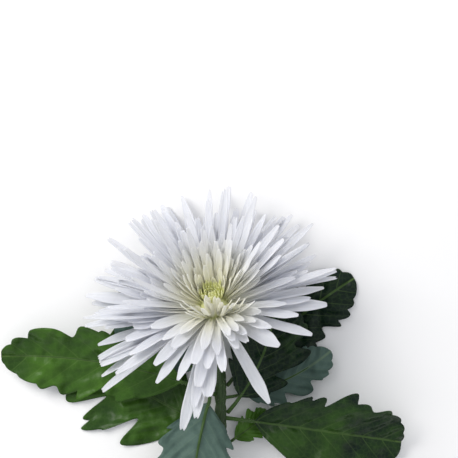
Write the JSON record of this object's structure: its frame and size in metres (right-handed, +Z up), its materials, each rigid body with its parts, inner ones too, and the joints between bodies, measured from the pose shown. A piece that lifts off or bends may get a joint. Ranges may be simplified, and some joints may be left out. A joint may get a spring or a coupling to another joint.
{
  "type": "spider chrysanthemum",
  "caption": "Cut spider chrysanthemum lying on its side: a white head of long narrow ray florets round a yellow-green eye, on a leafy green stem.",
  "frame": {"origin": "middle of the footprint, on the table the flower lies on", "axes": "+Y from the cut end of the stem to the head, +Z up from the table, +X to the right when looking along +Y"},
  "size_m": [0.2104, 0.2804, 0.0686],
  "materials": {
    "ray_floret": "white petal tissue, soft satin, finely ridged, cream towards the root",
    "young_floret": "yellow-green young petal tissue, matt",
    "calyx": "green scales with thin pale edges, matt and finely downy",
    "stem": "green ribbed stem, satin, finely downy",
    "leaf": "dark green upper side, satin to glossy, with pale sunken veins",
    "leaf_underside": "pale grey-green underside, matt and downy, with raised veins"
  },
  "bodies": {
    "root": {"ray_florets": "ray_floret", "young_florets": "young_floret", "calyx": "calyx", "stem": "stem", "leaf_1": "leaf", "leaf_2": "leaf", "leaf_3": "leaf_underside", "leaf_4": "leaf_underside", "leaf_5": "leaf", "leaf_6": "leaf", "leaf_7": "leaf_underside", "leaf_8": "leaf", "leaf_9": "leaf", "leaf_10": "leaf", "leaf_11": "leaf"}
  },
  "joints": []
}
